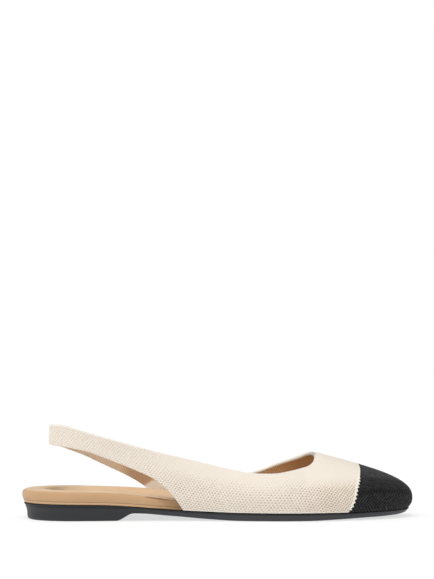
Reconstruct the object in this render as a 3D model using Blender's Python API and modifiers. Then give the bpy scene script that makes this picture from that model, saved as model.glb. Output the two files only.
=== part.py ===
"""Sling back flat, right shoe: rubber outsole, padded footbed, knitted upper with its sling, toe cap.

+X points to the toe, +Y to the medial side, +Z up. The origin is the middle of the shoe's box, on the
ground. Sizes below are millimetres, with x counted forward from the heel; meshes are metres.
"""

import math
from collections import namedtuple

import bmesh
import bpy
from mathutils import Vector

MM = 0.001

# Lengths along the shoe
REAR_X = 1.5            # back of the outsole's top edge
TIP_X = 250.0           # front of the outsole's top edge
TOE_ROLL_X = 222.0      # in front of it the outsole's wall leans in
HEEL_ROUND_X = 36.0     # where the round of the heel ends
HEEL_POWER = 2.15       # 2 is an ellipse, more is squarer
TOE_START = {"lateral": 166.0, "medial": 184.0}
TOE_POWER = {"lateral": 1.9, "medial": 1.85}

# Fits and wall thicknesses
GAP = 0.3               # between pieces that touch
WALL = 2.2              # knitted upper with its lining
CAP_WALL = 0.9          # toe cap
FEATHER_INSET = 0.6     # foot of the upper, in from the outsole's edge

# Sling
SLING_REAR_X = 16.6     # outside of the sling at the back of the heel
SLING_ROUND_X = 60.0    # where the sling's loop meets the sides
SLING_POWER = 2.2

# Vamp: its sides and toe fan out from this point under the throat
FAN = Vector((178.0, 7.0))
FAN_Z = 44.1
THROAT_CENTRE_X = 171.0 # the front of the throat is half of a squared ellipse about this
THROAT_X = 188.2        # and ends here
THROAT_POWER = 2.8
TOE_WIDEST_Z = 11.2     # height at which the toe is longest

Outline = namedtuple("Outline", "x lateral medial")
OUTLINE = [             # half widths of the outsole's top edge, before the heel and toe are rounded
    Outline(36, 29.4, 28.6),
    Outline(62, 28.6, 26.6),
    Outline(92, 28.2, 22.8),
    Outline(118, 31.2, 23.4),
    Outline(142, 36.4, 28.8),
    Outline(166, 39.4, 34.4),
    Outline(184, 39.4, 36.4),
]

Sole = namedtuple("Sole", "x top bottom")
SOLE = [                # heights of the outsole's top and bottom; the heel breast is added to these
    Sole(1, 10.5, 4.5),
    Sole(26, 10.3, 4.5),
    Sole(50, 9.9, 4.5),
    Sole(72, 8.7, 4.5),
    Sole(96, 6.4, 2.7),
    Sole(118, 5.4, 0.9),
    Sole(134, 4.9, 0.1),
    Sole(144, 4.8, 0.0),
    Sole(180, 4.6, 0.0),
    Sole(200, 4.6, 0.6),
    Sole(220, 4.9, 1.3),
    Sole(232, 5.0, 1.5),
    Sole(242, 5.1, 1.7),
    Sole(249, 5.4, 2.2),
    Sole(253, 5.6, 2.5),
]
BREAST_BACK_X = 60.0    # heel breast, foot and head of its slope
BREAST_FRONT_X = 71.0
WALL_FADE = 12.0        # length over which the heel's walls turn into those in front of it

# Section of the upper behind the fan point: widest line, the ridge that the walls lean towards, and
# how square (n, m) and how sloped the walls are
Section = namedtuple(
    "Section", "x lateral_bulge medial_bulge widest_z ridge_y ridge_z lateral_slope medial_slope"
)
SECTIONS = [
    Section(15, -1.2, -0.4, 16.5, 0.0, 230, 0.00, 0.00),
    Section(60, -1.2, -0.4, 16.5, 0.0, 124, 0.00, 0.00),
    Section(80, 0.8, 2.0, 16.0, 1.0, 102, 0.00, 0.00),
    Section(96, 2.5, 2.5, 15.4, 2.5, 88, 0.00, 0.00),
    Section(120, 2.5, 2.3, 14.8, 4.5, 71, 0.05, 0.02),
    Section(145, 2.4, 2.1, 14.5, 6.0, 57, 0.13, 0.05),
    Section(165, 2.3, 2.0, 14.4, 6.8, 48.2, 0.22, 0.08),
    Section(178, 2.2, 1.9, 14.3, 7.0, 44.1, 0.26, 0.10),
]
Form = namedtuple("Form", "n m slope bulge")
SIDE_FORM = {"lateral": Form(2.5, 2.2, 0.26, 2.2), "medial": Form(2.6, 2.3, 0.10, 1.9)}
TOE_FORM = Form(4.8, 3.0, 0.262, 2.2)

Edge = namedtuple("Edge", "x z")
TOPLINE = {             # sling and throat edge, from the heel forward
    "lateral": [
        Edge(15, 59.5), Edge(24, 59.9), Edge(32, 58.2), Edge(48, 53.6), Edge(64, 49.2), Edge(87, 43.1),
        Edge(110, 37.9), Edge(134, 32.6), Edge(149, 30.6), Edge(158, 30.7), Edge(168, 31.9), Edge(178, 33.6),
    ],
    "medial": [
        Edge(15, 59.5), Edge(24, 58.8), Edge(40, 53.4), Edge(60, 46.4), Edge(80, 40.0), Edge(100, 34.2),
        Edge(120, 29.2), Edge(136, 26.4), Edge(146, 26.2), Edge(155, 28.3), Edge(166, 32.8), Edge(178, 37.5),
    ],
}
UNDERLINE = {           # lower edge of the sling, running down into the rear edge of the quarter
    "lateral": [
        Edge(15, 47.7), Edge(17.4, 47.0), Edge(19.6, 46.5), Edge(25, 46.1), Edge(40, 43.6), Edge(56, 38.1),
        Edge(72, 31.7), Edge(83, 26.6), Edge(91, 20.7), Edge(97, 13.8), Edge(102, 6.0),
    ],
    "medial": [
        Edge(15, 47.7), Edge(17.4, 47.0), Edge(19.6, 46.2), Edge(25, 44.0), Edge(38, 38.9), Edge(53, 31.9),
        Edge(68, 24.8), Edge(78, 18.8), Edge(86, 12.6), Edge(93, 7.0),
    ],
}
CORNER_X = {side: UNDERLINE[side][-1].x for side in UNDERLINE}

CAP_LINE = [            # rear edge of the toe cap, seen from the side
    Edge(203.4, 0.0), Edge(205.0, 4.5), Edge(207.3, 8.6), Edge(209.2, 13.6), Edge(210.8, 19.8),
    Edge(213.4, 26.6), Edge(215.9, 32.6), Edge(217.7, 37.6), Edge(218.5, 56.0),
]
CAP_FRONT_X = TIP_X + 20    # the zone of the cap ends in front of the toe
CAP_HALF_DEPTH = 60.0       # and beside it
STEP_HALF_DEPTH = 70.0
STEP_BELOW = 2.0        # the step cut for the cap runs on below the upper's foot
STEP_OUTSIDE = 0.6      # and outside the upper's face

# Footbed
Bed = namedtuple("Bed", "x lateral medial")
BED_RIM = [             # height of the footbed's rim
    Bed(0, 19.2, 19.2),
    Bed(30, 18.9, 18.9),
    Bed(58, 18.2, 18.2),
    Bed(78, 16.2, 17.3),
    Bed(96, 13.6, 15.4),
    Bed(116, 10.6, 11.8),
    Bed(140, 8.9, 9.3),
    Bed(180, 8.4, 8.4),
    Bed(236, 9.8, 9.8),
    Bed(253, 11.4, 11.4),
]
TUCK = {"lateral": (79.0, 97.0), "medial": (65.0, 83.0)}    # where the side wall turns in under its lip
SINK = (98.0, 116.0)    # where the lip itself draws in, inside the upper
Ring = namedtuple("Ring", "rise heel_inset tuck_inset sink_inset")
BED_RINGS = [           # share of the wall's height, and insets from the outsole's edge
    Ring(0.00, 0.5, 3.5, 0.0),
    Ring(0.10, 0.0, 3.4, 0.0),
    Ring(0.22, -0.6, 3.4, 0.0),
    Ring(0.45, -1.2, 3.2, 0.2),
    Ring(0.68, -1.2, 2.4, 1.8),
    Ring(0.84, -0.5, 0.4, 3.0),
    Ring(0.95, 0.8, 0.9, 3.3),
    Ring(1.00, 2.8, 2.4, 3.0),
]
CUP_REAR_X = 9.8        # rear of the dished seat
CUP_SIDE = 8.0          # width of the rim beside the seat
CUP_DEPTH = 3.0
CUP_RAMP = (-1.5, 5.0)  # where the seat starts to sink and where it is deep, in from the rim
CUP_CORNER = 12.0       # how widely the rim's two rear corners are rounded
CUP_FADE = (70.0, 112.0)

Wall = namedtuple("Wall", "drop heel_inset front_inset toe_inset")
SOLE_RINGS = [          # share of the outsole's thickness below its top edge, and insets
    Wall(0.00, 0.0, 0.0, 0.0),
    Wall(0.09, 0.1, 0.1, 0.1),
    Wall(0.17, 0.9, 0.6, 0.7),
    Wall(0.50, 1.8, 1.1, 1.4),
    Wall(0.82, 2.1, 1.8, 2.8),
    Wall(0.95, 2.5, 2.6, 4.6),
    Wall(1.00, 3.7, 4.2, 8.0),
]

# Fineness of the meshes
HEEL_COUNT = 8          # stations round the heel, to the breast, over it, to the sink, to the toe, round it
SEAT_COUNT = 3
BREAST_COUNT = 6
WAIST_COUNT = 6
BALL_COUNT = 11
TIP_COUNT = 12
SOLE_COLUMNS = (4, 2)   # rungs across the bottom and the top
BED_COLUMNS = (2, 8)
LOWER_STEPS = 24        # points up a wall, below and above its widest line, before it is evened out
UPPER_STEPS = 160
UPPER_ROWS = 14
SLING_STEPS = 8
SLING_SPACING = 3.6     # length between columns of the sling, and of the quarter
QUARTER_SPACING = 6.5
TOE_STEPS = 14
TOE_CROWD = 1.15        # packs the rows of the toe towards its foot
HALVINGS = 40
NEAR = 0.05             # distance to a neighbour that gives the outline's slope
SHARP_ANGLE = 40.0      # edges sharper than this are drawn as edges


def mix(a, b, share):
    return a + (b - a) * share


def ease(x, start, end):
    """0 before start, 1 after end, and a smooth rise between."""
    share = min(1.0, max(0.0, (x - start) / (end - start)))
    return share * share * (3 - 2 * share)


def curve(rows, column, x):
    """A table's column at x: a cubic through its rows that never overshoots."""
    xs = [row.x for row in rows]
    ys = [getattr(row, column) for row in rows]
    if x <= xs[0]:
        return ys[0]
    if x >= xs[-1]:
        return ys[-1]
    slopes = [(ys[i + 1] - ys[i]) / (xs[i + 1] - xs[i]) for i in range(len(xs) - 1)]
    tangents = [slopes[0]]
    for before, after in zip(slopes, slopes[1:]):
        tangents.append(0.0 if before * after <= 0 else 2 * before * after / (before + after))
    tangents.append(slopes[-1])
    i = max(k for k in range(len(slopes)) if xs[k] <= x)
    width = xs[i + 1] - xs[i]
    t = (x - xs[i]) / width
    return (
        (2 * t**3 - 3 * t**2 + 1) * ys[i] + (t**3 - 2 * t**2 + t) * width * tangents[i]
        + (3 * t**2 - 2 * t**3) * ys[i + 1] + (t**3 - t**2) * width * tangents[i + 1]
    )


def half_width(x, side):
    """Distance of the outsole's top edge from the long axis."""
    width = curve(OUTLINE, side, x)
    if x < HEEL_ROUND_X:
        share = min(1.0, (HEEL_ROUND_X - x) / (HEEL_ROUND_X - REAR_X))
        width *= (1 - share**HEEL_POWER) ** (1 / HEEL_POWER)
    if x > TOE_START[side]:
        share = min(1.0, (x - TOE_START[side]) / (TIP_X - TOE_START[side]))
        width *= (1 - share ** TOE_POWER[side]) ** (1 / TOE_POWER[side])
    return width


def spread(start, end, count):
    return [mix(start, end, (i + 1) / count) for i in range(count)]


def rounded(start, end, count, power):
    """Stations from start to end that crowd towards end, where the outline turns across the shoe."""
    return [mix(start, end, math.sin(math.pi / 2 * (i + 1) / count) ** (2 / power)) for i in range(count)]


def sole_stations():
    heel = rounded(HEEL_ROUND_X, REAR_X, HEEL_COUNT, HEEL_POWER)[::-1]
    breast = (BREAST_BACK_X - 1, BREAST_FRONT_X + 1)
    middle = [HEEL_ROUND_X] + spread(HEEL_ROUND_X, breast[0], SEAT_COUNT) + spread(*breast, BREAST_COUNT)
    waist = spread(breast[1], SINK[0], WAIST_COUNT) + spread(SINK[0], TOE_START["medial"], BALL_COUNT)
    return heel + middle + waist + rounded(TOE_START["medial"], TIP_X, TIP_COUNT, TOE_POWER["medial"])


def edge_loop(stations):
    """Points and outward normals of the outsole's top edge: heel, lateral side, toe, medial side."""
    inner = stations[1:-1]
    loop = [(REAR_X, 0.0, "lateral")]
    loop += [(x, -half_width(x, "lateral"), "lateral") for x in inner]
    loop += [(TIP_X, 0.0, "lateral")]
    loop += [(x, half_width(x, "medial"), "medial") for x in reversed(inner)]
    points = []
    for i, (x, y, side) in enumerate(loop):
        before, after = loop[i - 1], loop[(i + 1) % len(loop)]
        along = Vector((after[0] - before[0], after[1] - before[1])).normalized()
        points.append((Vector((x, y)), Vector((along.y, -along.x)), side))
    return points


def offset_ring(loop, inset_at, height_at):
    """The loop moved in by inset_at(x, side), at the height height_at(x, side)."""
    ring = []
    for point, normal, side in loop:
        moved = point - normal * inset_at(point.x, side)
        ring.append(Vector((moved.x, moved.y, height_at(point.x, side))))
    return ring


def rung(ring, i, columns):
    """Points across the shoe from the lateral point i of a ring to the medial one."""
    lateral, medial = ring[i], ring[-i]
    return [lateral.lerp(medial, c / columns) for c in range(1, columns)]


def stacked_solid(rings, columns_low, columns_high, shape_high=None):
    """Vertices and faces of a solid made of rings from the bottom up, closed by rungs across both ends."""
    count = len(rings[0])
    half = count // 2
    verts = [point for ring in rings for point in ring]
    faces = []
    for r in range(len(rings) - 1):
        for i in range(count):
            j = (i + 1) % count
            faces.append((r * count + i, r * count + j, (r + 1) * count + j, (r + 1) * count + i))
    ends = ((rings[0], 0, columns_low, None), (rings[-1], (len(rings) - 1) * count, columns_high, shape_high))
    for ring, start, columns, shape in ends:
        rows = [[start]]
        for i in range(1, half):
            mids = rung(ring, i, columns)
            first = len(verts)
            verts += [shape(p) if shape else p for p in mids]
            rows.append([start + i] + list(range(first, first + len(mids))) + [start + count - i])
        rows.append([start + half])
        for back, front in zip(rows, rows[1:]):
            for c in range(columns):
                if len(back) == 1:
                    face = (back[0], front[c], front[c + 1])
                elif len(front) == 1:
                    face = (back[c], front[0], back[c + 1])
                else:
                    face = (back[c], front[c], front[c + 1], back[c + 1])
                faces.append(face if start else tuple(reversed(face)))
    return verts, faces


def sole_bottom(x):
    return curve(SOLE, "bottom", x) * ease(x, BREAST_BACK_X, BREAST_FRONT_X)


def outsole_shape(loop):
    def inset_of(row):
        def inset(x, side):
            share = ease(x, BREAST_BACK_X, BREAST_FRONT_X + WALL_FADE)
            side_inset = mix(row.heel_inset, row.front_inset, share)
            return mix(side_inset, row.toe_inset, ease(x, TOE_ROLL_X, TIP_X))
        return inset

    def height_of(row):
        return lambda x, side: mix(curve(SOLE, "top", x), sole_bottom(x), row.drop)

    rings = [offset_ring(loop, inset_of(row), height_of(row)) for row in reversed(SOLE_RINGS)]
    return stacked_solid(rings, *SOLE_COLUMNS)


def bed_base(x):
    return curve(SOLE, "top", x) + GAP


def inside_rim(x, y):
    """Distance of a point in from the footbed's heel rim, whose rear corners are rounded."""
    side = "lateral" if y < 0 else "medial"
    across = half_width(max(x, REAR_X), side) - abs(y) - CUP_SIDE + CUP_CORNER
    along = x - CUP_REAR_X + CUP_CORNER
    return across + along - math.hypot(across, along) - CUP_CORNER


def dish(point):
    """Sinks the footbed's seat inside its heel rim."""
    depth = CUP_DEPTH * ease(inside_rim(point.x, point.y), *CUP_RAMP) * (1 - ease(point.x, *CUP_FADE))
    return Vector((point.x, point.y, point.z - depth))


def footbed_shape(loop):
    def inset_of(row):
        def inset(x, side):
            return mix(row.heel_inset, row.tuck_inset, ease(x, *TUCK[side])) + row.sink_inset * ease(x, *SINK)
        return inset

    def height_of(row):
        return lambda x, side: mix(bed_base(x), curve(BED_RIM, side, x), row.rise)

    rings = [offset_ring(loop, inset_of(row), height_of(row)) for row in BED_RINGS]
    return stacked_solid(rings, *BED_COLUMNS, dish)


Column = namedtuple("Column", "centre wide foot foot_z widest_z ridge_z form low high_z high_r crowd")


def wall_curve(column):
    """Points up one column of the upper's outside, from its lower edge to its top edge."""
    out = column.wide - column.centre
    reach = out.length
    direction = out.normalized()
    low = (column.wide - column.foot).dot(direction)
    rise = column.ridge_z - column.widest_z - column.form.slope * reach
    points = []
    for i in range(LOWER_STEPS + 1):
        q = 1 - i / LOWER_STEPS
        z = mix(column.widest_z, column.foot_z, q)
        plan = column.wide - direction * (low * q * q)
        points.append(Vector((plan.x, plan.y, z)))
    for i in range(1, UPPER_STEPS + 1):
        turn = math.pi / 2 * i / UPPER_STEPS
        r = reach * math.cos(turn) ** (2 / column.form.n)
        z = column.widest_z + rise * math.sin(turn) ** (2 / column.form.m) + column.form.slope * (reach - r)
        plan = column.centre + direction * r
        points.append(Vector((plan.x, plan.y, z)))
        if is_past_top(z, r, column):
            points[-1] = cut_back(points[-2], points[-1], column)
            break
    if column.low > column.foot_z:
        above = next(k for k in range(1, len(points)) if points[k].z > column.low)
        share = (column.low - points[above - 1].z) / (points[above].z - points[above - 1].z)
        points = [points[above - 1].lerp(points[above], share)] + points[above:]
    return points


def is_past_top(z, r, column):
    if column.high_z is not None:
        return z >= column.high_z
    return r <= column.high_r


def cut_back(before, after, column):
    """The point between two where the column reaches its top edge."""
    if column.high_z is not None:
        share = (column.high_z - before.z) / (after.z - before.z)
    else:
        near = (before.xy - column.centre).length
        far = (after.xy - column.centre).length
        share = (near - column.high_r) / (near - far)
    return before.lerp(after, share)


def resample(points, rows, crowd):
    """rows + 1 points along a polyline; crowd above 1 packs them towards its start."""
    lengths = [0.0]
    for a, b in zip(points, points[1:]):
        lengths.append(lengths[-1] + (b - a).length)
    found = []
    for j in range(rows + 1):
        target = lengths[-1] * (j / rows) ** crowd
        k = next(k for k in range(1, len(points)) if lengths[k] >= target - 1e-9)
        share = (target - lengths[k - 1]) / max(lengths[k] - lengths[k - 1], 1e-9)
        found.append(points[k - 1].lerp(points[k], share))
    return found


def side_column(x, side, plan=None):
    """A column across the shoe at x, or one round the heel where plan gives its place."""
    sign = -1 if side == "lateral" else 1
    widest_z = curve(SECTIONS, "widest_z", x)
    ridge_y = curve(SECTIONS, "ridge_y", x)
    edge = half_width(max(x, SLING_ROUND_X), side)
    wide = plan or Vector((x, sign * (edge + curve(SECTIONS, side + "_bulge", x))))
    centre = Vector((SLING_ROUND_X, 0.0)) if x < SLING_ROUND_X else Vector((x, ridge_y))
    foot = Vector((x, sign * (edge - FEATHER_INSET))) if x >= CORNER_X[side] - WALL_FADE else wide
    foot_z = bed_base(x)
    form = SIDE_FORM[side]._replace(slope=curve(SECTIONS, side + "_slope", x))
    low = curve(UNDERLINE[side], "z", x) if x < CORNER_X[side] - NEAR else foot_z
    return Column(
        centre, wide, foot, foot_z, widest_z, curve(SECTIONS, "ridge_z", x), form,
        max(low, foot_z), curve(TOPLINE[side], "z", x), None, 1.0,
    )


def throat_radius(side_reach, along):
    """Distance of the throat's edge from the fan point; the edge passes side_reach beside that point."""
    ahead = FAN.x - THROAT_CENTRE_X
    depth = THROAT_X - THROAT_CENTRE_X
    width = side_reach / (1 - (ahead / depth) ** THROAT_POWER) ** (1 / THROAT_POWER)
    low, high = 0.0, side_reach + depth
    for _ in range(HALVINGS):
        radius = (low + high) / 2
        forward = max(0.0, ahead + radius * along.x) / depth
        if forward**THROAT_POWER + (radius * abs(along.y) / width) ** THROAT_POWER < 1:
            low = radius
        else:
            high = radius
    return radius


def toe_column(x, side, side_reach):
    """A column that fans out from the fan point to the toe's outline at x."""
    sign = -1 if side == "lateral" else 1
    y = half_width(x, side) if x < TIP_X else 0.0
    x_back = max(x - NEAR, FAN.x)
    slope = (half_width(x_back, side) - y) / max(x - x_back, 1e-6)
    normal = Vector((slope, float(sign))).normalized() if x < TIP_X else Vector((1.0, 0.0))
    edge = Vector((x, sign * y))
    along = (edge - FAN).normalized()
    front = max(0.0, along.x) ** 2
    form = Form(*[mix(a, b, front) for a, b in zip(SIDE_FORM[side], TOE_FORM)])
    wide = edge + normal * form.bulge
    return Column(
        FAN, wide, edge - normal * FEATHER_INSET, bed_base(x),
        mix(curve(SECTIONS, "widest_z", FAN.x), TOE_WIDEST_Z, front), FAN_Z, form,
        0.0, None, throat_radius(side_reach, along), mix(1.0, TOE_CROWD, front),
    )


def sling_plan(side, share):
    """A point on the sling's loop round the heel; share runs from 0 at the back to 1 at the side."""
    sign = -1 if side == "lateral" else 1
    width = half_width(SLING_ROUND_X, side) + curve(SECTIONS, side + "_bulge", SLING_ROUND_X)
    turn = math.pi / 2 * share
    x = SLING_ROUND_X - (SLING_ROUND_X - SLING_REAR_X) * math.cos(turn) ** (2 / SLING_POWER)
    return Vector((x, sign * width * math.sin(turn) ** (2 / SLING_POWER)))


def upper_side(side):
    """Columns of one side, from just past the back of the heel to just short of the toe's tip."""
    columns = []
    for i in range(1, SLING_STEPS):
        plan = sling_plan(side, i / SLING_STEPS)
        columns.append(side_column(plan.x, side, plan))
    corner = CORNER_X[side]
    count = round((corner - SLING_ROUND_X) / SLING_SPACING)
    stations = [SLING_ROUND_X] + spread(SLING_ROUND_X, corner, count)
    stations += spread(corner, FAN.x, round((FAN.x - corner) / QUARTER_SPACING))
    columns += [side_column(x, side) for x in stations]
    top = wall_curve(columns[-1])[-1]
    side_reach = abs(top.y - FAN.y)
    toe = rounded(FAN.x, TIP_X, TOE_STEPS, TOE_POWER["medial"])[:-1]
    columns += [toe_column(x, side, side_reach) for x in toe]
    return columns, side_reach


def upper_columns():
    lateral, lateral_reach = upper_side("lateral")
    medial, _ = upper_side("medial")
    back = sling_plan("lateral", 0.0)
    heel = side_column(back.x, "lateral", back)
    tip = toe_column(TIP_X, "lateral", lateral_reach)
    return [heel] + lateral + [tip] + medial[::-1]


def band(grid, closed):
    """Vertices and faces of a grid of columns that run side by side."""
    rows = len(grid[0])
    verts = [point for column in grid for point in column]
    faces = []
    for k in range(len(grid) if closed else len(grid) - 1):
        here, there = k * rows, (k + 1) % len(grid) * rows
        for j in range(rows - 1):
            faces.append((here + j, there + j, there + j + 1, here + j + 1))
    return verts, faces


def cap_outline(shift):
    """The toe cap's zone seen from the side: its rear edge, closed far in front of the toe."""
    rear = [(edge.x + shift, edge.z) for edge in CAP_LINE]
    return rear + [(CAP_FRONT_X, CAP_LINE[-1].z), (CAP_FRONT_X, CAP_LINE[0].z)]


def new_mesh(name, verts, faces, collection, centre):
    mesh = bpy.data.meshes.new(name)
    mesh.from_pydata([(v - centre) * MM for v in verts], [], faces)
    mesh.validate()
    obj = bpy.data.objects.new(name, mesh)
    collection.objects.link(obj)
    return obj


def side_prism(name, outline, half_depth, collection, centre):
    """An outline drawn in the side view, extruded across the shoe, as a mesh."""
    data = bpy.data.curves.new(name, "CURVE")
    data.dimensions = "2D"
    data.fill_mode = "BOTH"
    data.extrude = half_depth * MM
    spline = data.splines.new("POLY")
    spline.points.add(len(outline) - 1)
    for point, (x, z) in zip(spline.points, outline):
        point.co = ((x - centre.x) * MM, (z - centre.z) * MM, 0.0, 1.0)
    spline.use_cyclic_u = True
    drawn = bpy.data.objects.new(name, data)
    drawn.rotation_euler = (math.pi / 2, 0.0, 0.0)
    collection.objects.link(drawn)
    bpy.context.view_layer.update()
    mesh = bpy.data.meshes.new_from_object(drawn.evaluated_get(bpy.context.evaluated_depsgraph_get()))
    welded = bmesh.new()
    welded.from_mesh(mesh)
    bmesh.ops.remove_doubles(welded, verts=welded.verts, dist=1e-6)
    bmesh.ops.recalc_face_normals(welded, faces=welded.faces)
    welded.to_mesh(mesh)
    welded.free()
    solid = bpy.data.objects.new(name, mesh)
    solid.matrix_world = drawn.matrix_world
    bpy.data.objects.remove(drawn)
    collection.objects.link(solid)
    return helper(solid)


def helper(obj):
    obj.hide_render = True
    obj.display_type = "WIRE"
    return obj


def thicken(obj, thickness, outward_share):
    solid = obj.modifiers.new("wall", "SOLIDIFY")
    solid.thickness = thickness * MM
    solid.offset = 2 * outward_share - 1
    solid.use_even_offset = True
    solid.use_quality_normals = True


def combine(obj, other, operation):
    cut = obj.modifiers.new(operation.lower(), "BOOLEAN")
    cut.operation = operation
    cut.object = other
    cut.solver = "EXACT"


def material(name, colour, roughness):
    made = bpy.data.materials.new(name)
    made.use_nodes = True
    shader = made.node_tree.nodes["Principled BSDF"]
    shader.inputs["Base Color"].default_value = (*colour, 1.0)
    shader.inputs["Roughness"].default_value = roughness
    shader.inputs["Metallic"].default_value = 0.0
    return made


def finish(obj, made):
    obj.data.materials.append(made)
    obj.data.shade_smooth()
    obj.data.set_sharp_from_angle(angle=math.radians(SHARP_ANGLE))


def collection_named(name):
    made = bpy.data.collections.new(name)
    bpy.context.scene.collection.children.link(made)
    return made


def toe_patch(grid, first, last, below):
    """Columns first to last of the upper, run on below its foot by that much."""
    patch = []
    for column in grid[first:last + 1]:
        foot = column[0].copy()
        foot.z -= below
        patch.append(([foot] if below else []) + column)
    return patch


def build():
    for obj in list(bpy.data.objects):
        bpy.data.objects.remove(obj)
    shoe = collection_named("sling_back_flat")
    cutters = collection_named("cutters")

    loop = edge_loop(sole_stations())
    outsole = outsole_shape(loop)
    footbed = footbed_shape(loop)
    columns = upper_columns()
    grid = [resample(wall_curve(column), UPPER_ROWS, column.crowd) for column in columns]

    drawn = footbed[0] + [point for column in grid for point in column]
    centre = Vector((
        (min(p.x for p in drawn) + max(p.x for p in drawn)) / 2,
        (min(p.y for p in drawn) + max(p.y for p in drawn)) / 2,
        0.0,
    ))

    sole_obj = new_mesh("outsole", *outsole, shoe, centre)
    finish(sole_obj, material("black_rubber", (0.035, 0.036, 0.040), 0.55))
    bed_obj = new_mesh("footbed", *footbed, shoe, centre)
    finish(bed_obj, material("tan_cover", (0.60, 0.38, 0.20), 0.6))

    upper_obj = new_mesh("upper", *band(grid, True), shoe, centre)
    thicken(upper_obj, WALL, 0.0)
    finish(upper_obj, material("cream_knit", (0.83, 0.74, 0.62), 0.85))

    toe = [k for k, column in enumerate(columns) if column.high_r is not None]
    first, last = toe[0] + 1, toe[-1] - 1
    cap_obj = new_mesh("toe_cap", *band(toe_patch(grid, first, last, 0.0), False), shoe, centre)
    thicken(cap_obj, CAP_WALL, 0.0)
    zone = side_prism("cap_zone", cap_outline(0.0), CAP_HALF_DEPTH, cutters, centre)
    combine(cap_obj, zone, "INTERSECT")
    finish(cap_obj, material("black_knit", (0.012, 0.012, 0.014), 0.85))

    step = new_mesh("cap_step", *band(toe_patch(grid, first, last, STEP_BELOW), False), cutters, centre)
    step_wall = STEP_OUTSIDE + CAP_WALL + GAP
    thicken(step, step_wall, STEP_OUTSIDE / step_wall)
    zone = side_prism("step_zone", cap_outline(-GAP), STEP_HALF_DEPTH, cutters, centre)
    combine(step, zone, "INTERSECT")
    combine(upper_obj, helper(step), "DIFFERENCE")


build()
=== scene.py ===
"""Looks of the sling back flat, a right shoe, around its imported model.

Shapes are worked out in millimetres, with x counted forward from the heel, y to the medial side from
the long axis and z up from the ground, and are moved into the frame in metres when a mesh is made.
"""

import math
from collections import namedtuple

import bpy
import numpy as np
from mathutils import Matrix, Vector


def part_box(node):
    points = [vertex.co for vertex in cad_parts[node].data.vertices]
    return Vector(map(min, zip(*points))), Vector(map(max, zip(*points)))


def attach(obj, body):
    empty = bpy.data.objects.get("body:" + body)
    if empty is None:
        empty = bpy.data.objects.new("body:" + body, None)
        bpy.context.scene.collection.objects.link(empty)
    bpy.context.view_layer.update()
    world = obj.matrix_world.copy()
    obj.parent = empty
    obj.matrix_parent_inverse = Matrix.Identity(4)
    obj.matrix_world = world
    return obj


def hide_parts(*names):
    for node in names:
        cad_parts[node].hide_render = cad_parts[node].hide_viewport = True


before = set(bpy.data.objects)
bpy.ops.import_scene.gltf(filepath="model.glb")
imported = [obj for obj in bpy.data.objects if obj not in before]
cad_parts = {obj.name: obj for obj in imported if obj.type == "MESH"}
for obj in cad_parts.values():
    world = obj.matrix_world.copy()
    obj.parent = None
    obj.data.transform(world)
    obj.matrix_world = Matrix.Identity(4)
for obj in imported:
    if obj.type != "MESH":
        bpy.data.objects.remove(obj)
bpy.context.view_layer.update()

MM = 0.001


def table(kind, *rows):
    """Rows of plain numbers with the columns' names put to them."""
    return [kind(*row) for row in rows]


# Lengths along the shoe
REAR_X = 1.5
TIP_X = 250.0
TOE_ROLL_X = 222.0      # in front of it the outsole's wall leans in
HEEL_ROUND_X = 36.0
HEEL_POWER = 2.15
TOE_START = {"lateral": 166.0, "medial": 184.0}
TOE_POWER = {"lateral": 1.9, "medial": 1.85}
LONG_AXIS_Y = 1.68      # the long axis lies this far to the medial side of the frame's middle

# Fits and wall thicknesses
GAP = 0.3
WALL = 2.2
KNIT = 1.25             # the knit alone, without its lining
CAP_WALL = 0.9
FEATHER_INSET = 0.6

# Sling
SLING_REAR_X = 16.6
SLING_ROUND_X = 60.0
SLING_POWER = 2.2

# Vamp
FAN = Vector((178.0, 7.0))
FAN_Z = 44.1
THROAT_CENTRE_X = 171.0
THROAT_X = 188.2
THROAT_POWER = 2.8
TOE_WIDEST_Z = 11.2

Outline = namedtuple("Outline", "x lateral medial")
OUTLINE = table(
    Outline,
    (36, 29.4, 28.6), (62, 28.6, 26.6), (92, 28.2, 22.8), (118, 31.2, 23.4), (142, 36.4, 28.8),
    (166, 39.4, 34.4), (184, 39.4, 36.4),
)

Sole = namedtuple("Sole", "x top bottom")
SOLE = table(
    Sole,
    (1, 10.5, 4.5), (26, 10.3, 4.5), (50, 9.9, 4.5), (72, 8.7, 4.5), (96, 6.4, 2.7), (118, 5.4, 0.9),
    (134, 4.9, 0.1), (144, 4.8, 0.0), (180, 4.6, 0.0), (200, 4.6, 0.6), (220, 4.9, 1.3),
    (232, 5.0, 1.5), (242, 5.1, 1.7), (249, 5.4, 2.2), (253, 5.6, 2.5),
)
BREAST_BACK_X = 60.0
BREAST_FRONT_X = 71.0
WALL_FADE = 12.0        # length over which the heel's walls turn into those in front of it

Section = namedtuple(
    "Section", "x lateral_bulge medial_bulge widest_z ridge_y ridge_z lateral_slope medial_slope"
)
SECTIONS = table(
    Section,
    (15, -1.2, -0.4, 16.5, 0.0, 230, 0.00, 0.00), (60, -1.2, -0.4, 16.5, 0.0, 124, 0.00, 0.00),
    (80, 0.8, 2.0, 16.0, 1.0, 102, 0.00, 0.00), (96, 2.5, 2.5, 15.4, 2.5, 88, 0.00, 0.00),
    (120, 2.5, 2.3, 14.8, 4.5, 71, 0.05, 0.02), (145, 2.4, 2.1, 14.5, 6.0, 57, 0.13, 0.05),
    (165, 2.3, 2.0, 14.4, 6.8, 48.2, 0.22, 0.08), (178, 2.2, 1.9, 14.3, 7.0, 44.1, 0.26, 0.10),
)
Form = namedtuple("Form", "n m slope bulge")
SIDE_FORM = {"lateral": Form(2.5, 2.2, 0.26, 2.2), "medial": Form(2.6, 2.3, 0.10, 1.9)}
TOE_FORM = Form(4.8, 3.0, 0.262, 2.2)

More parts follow.
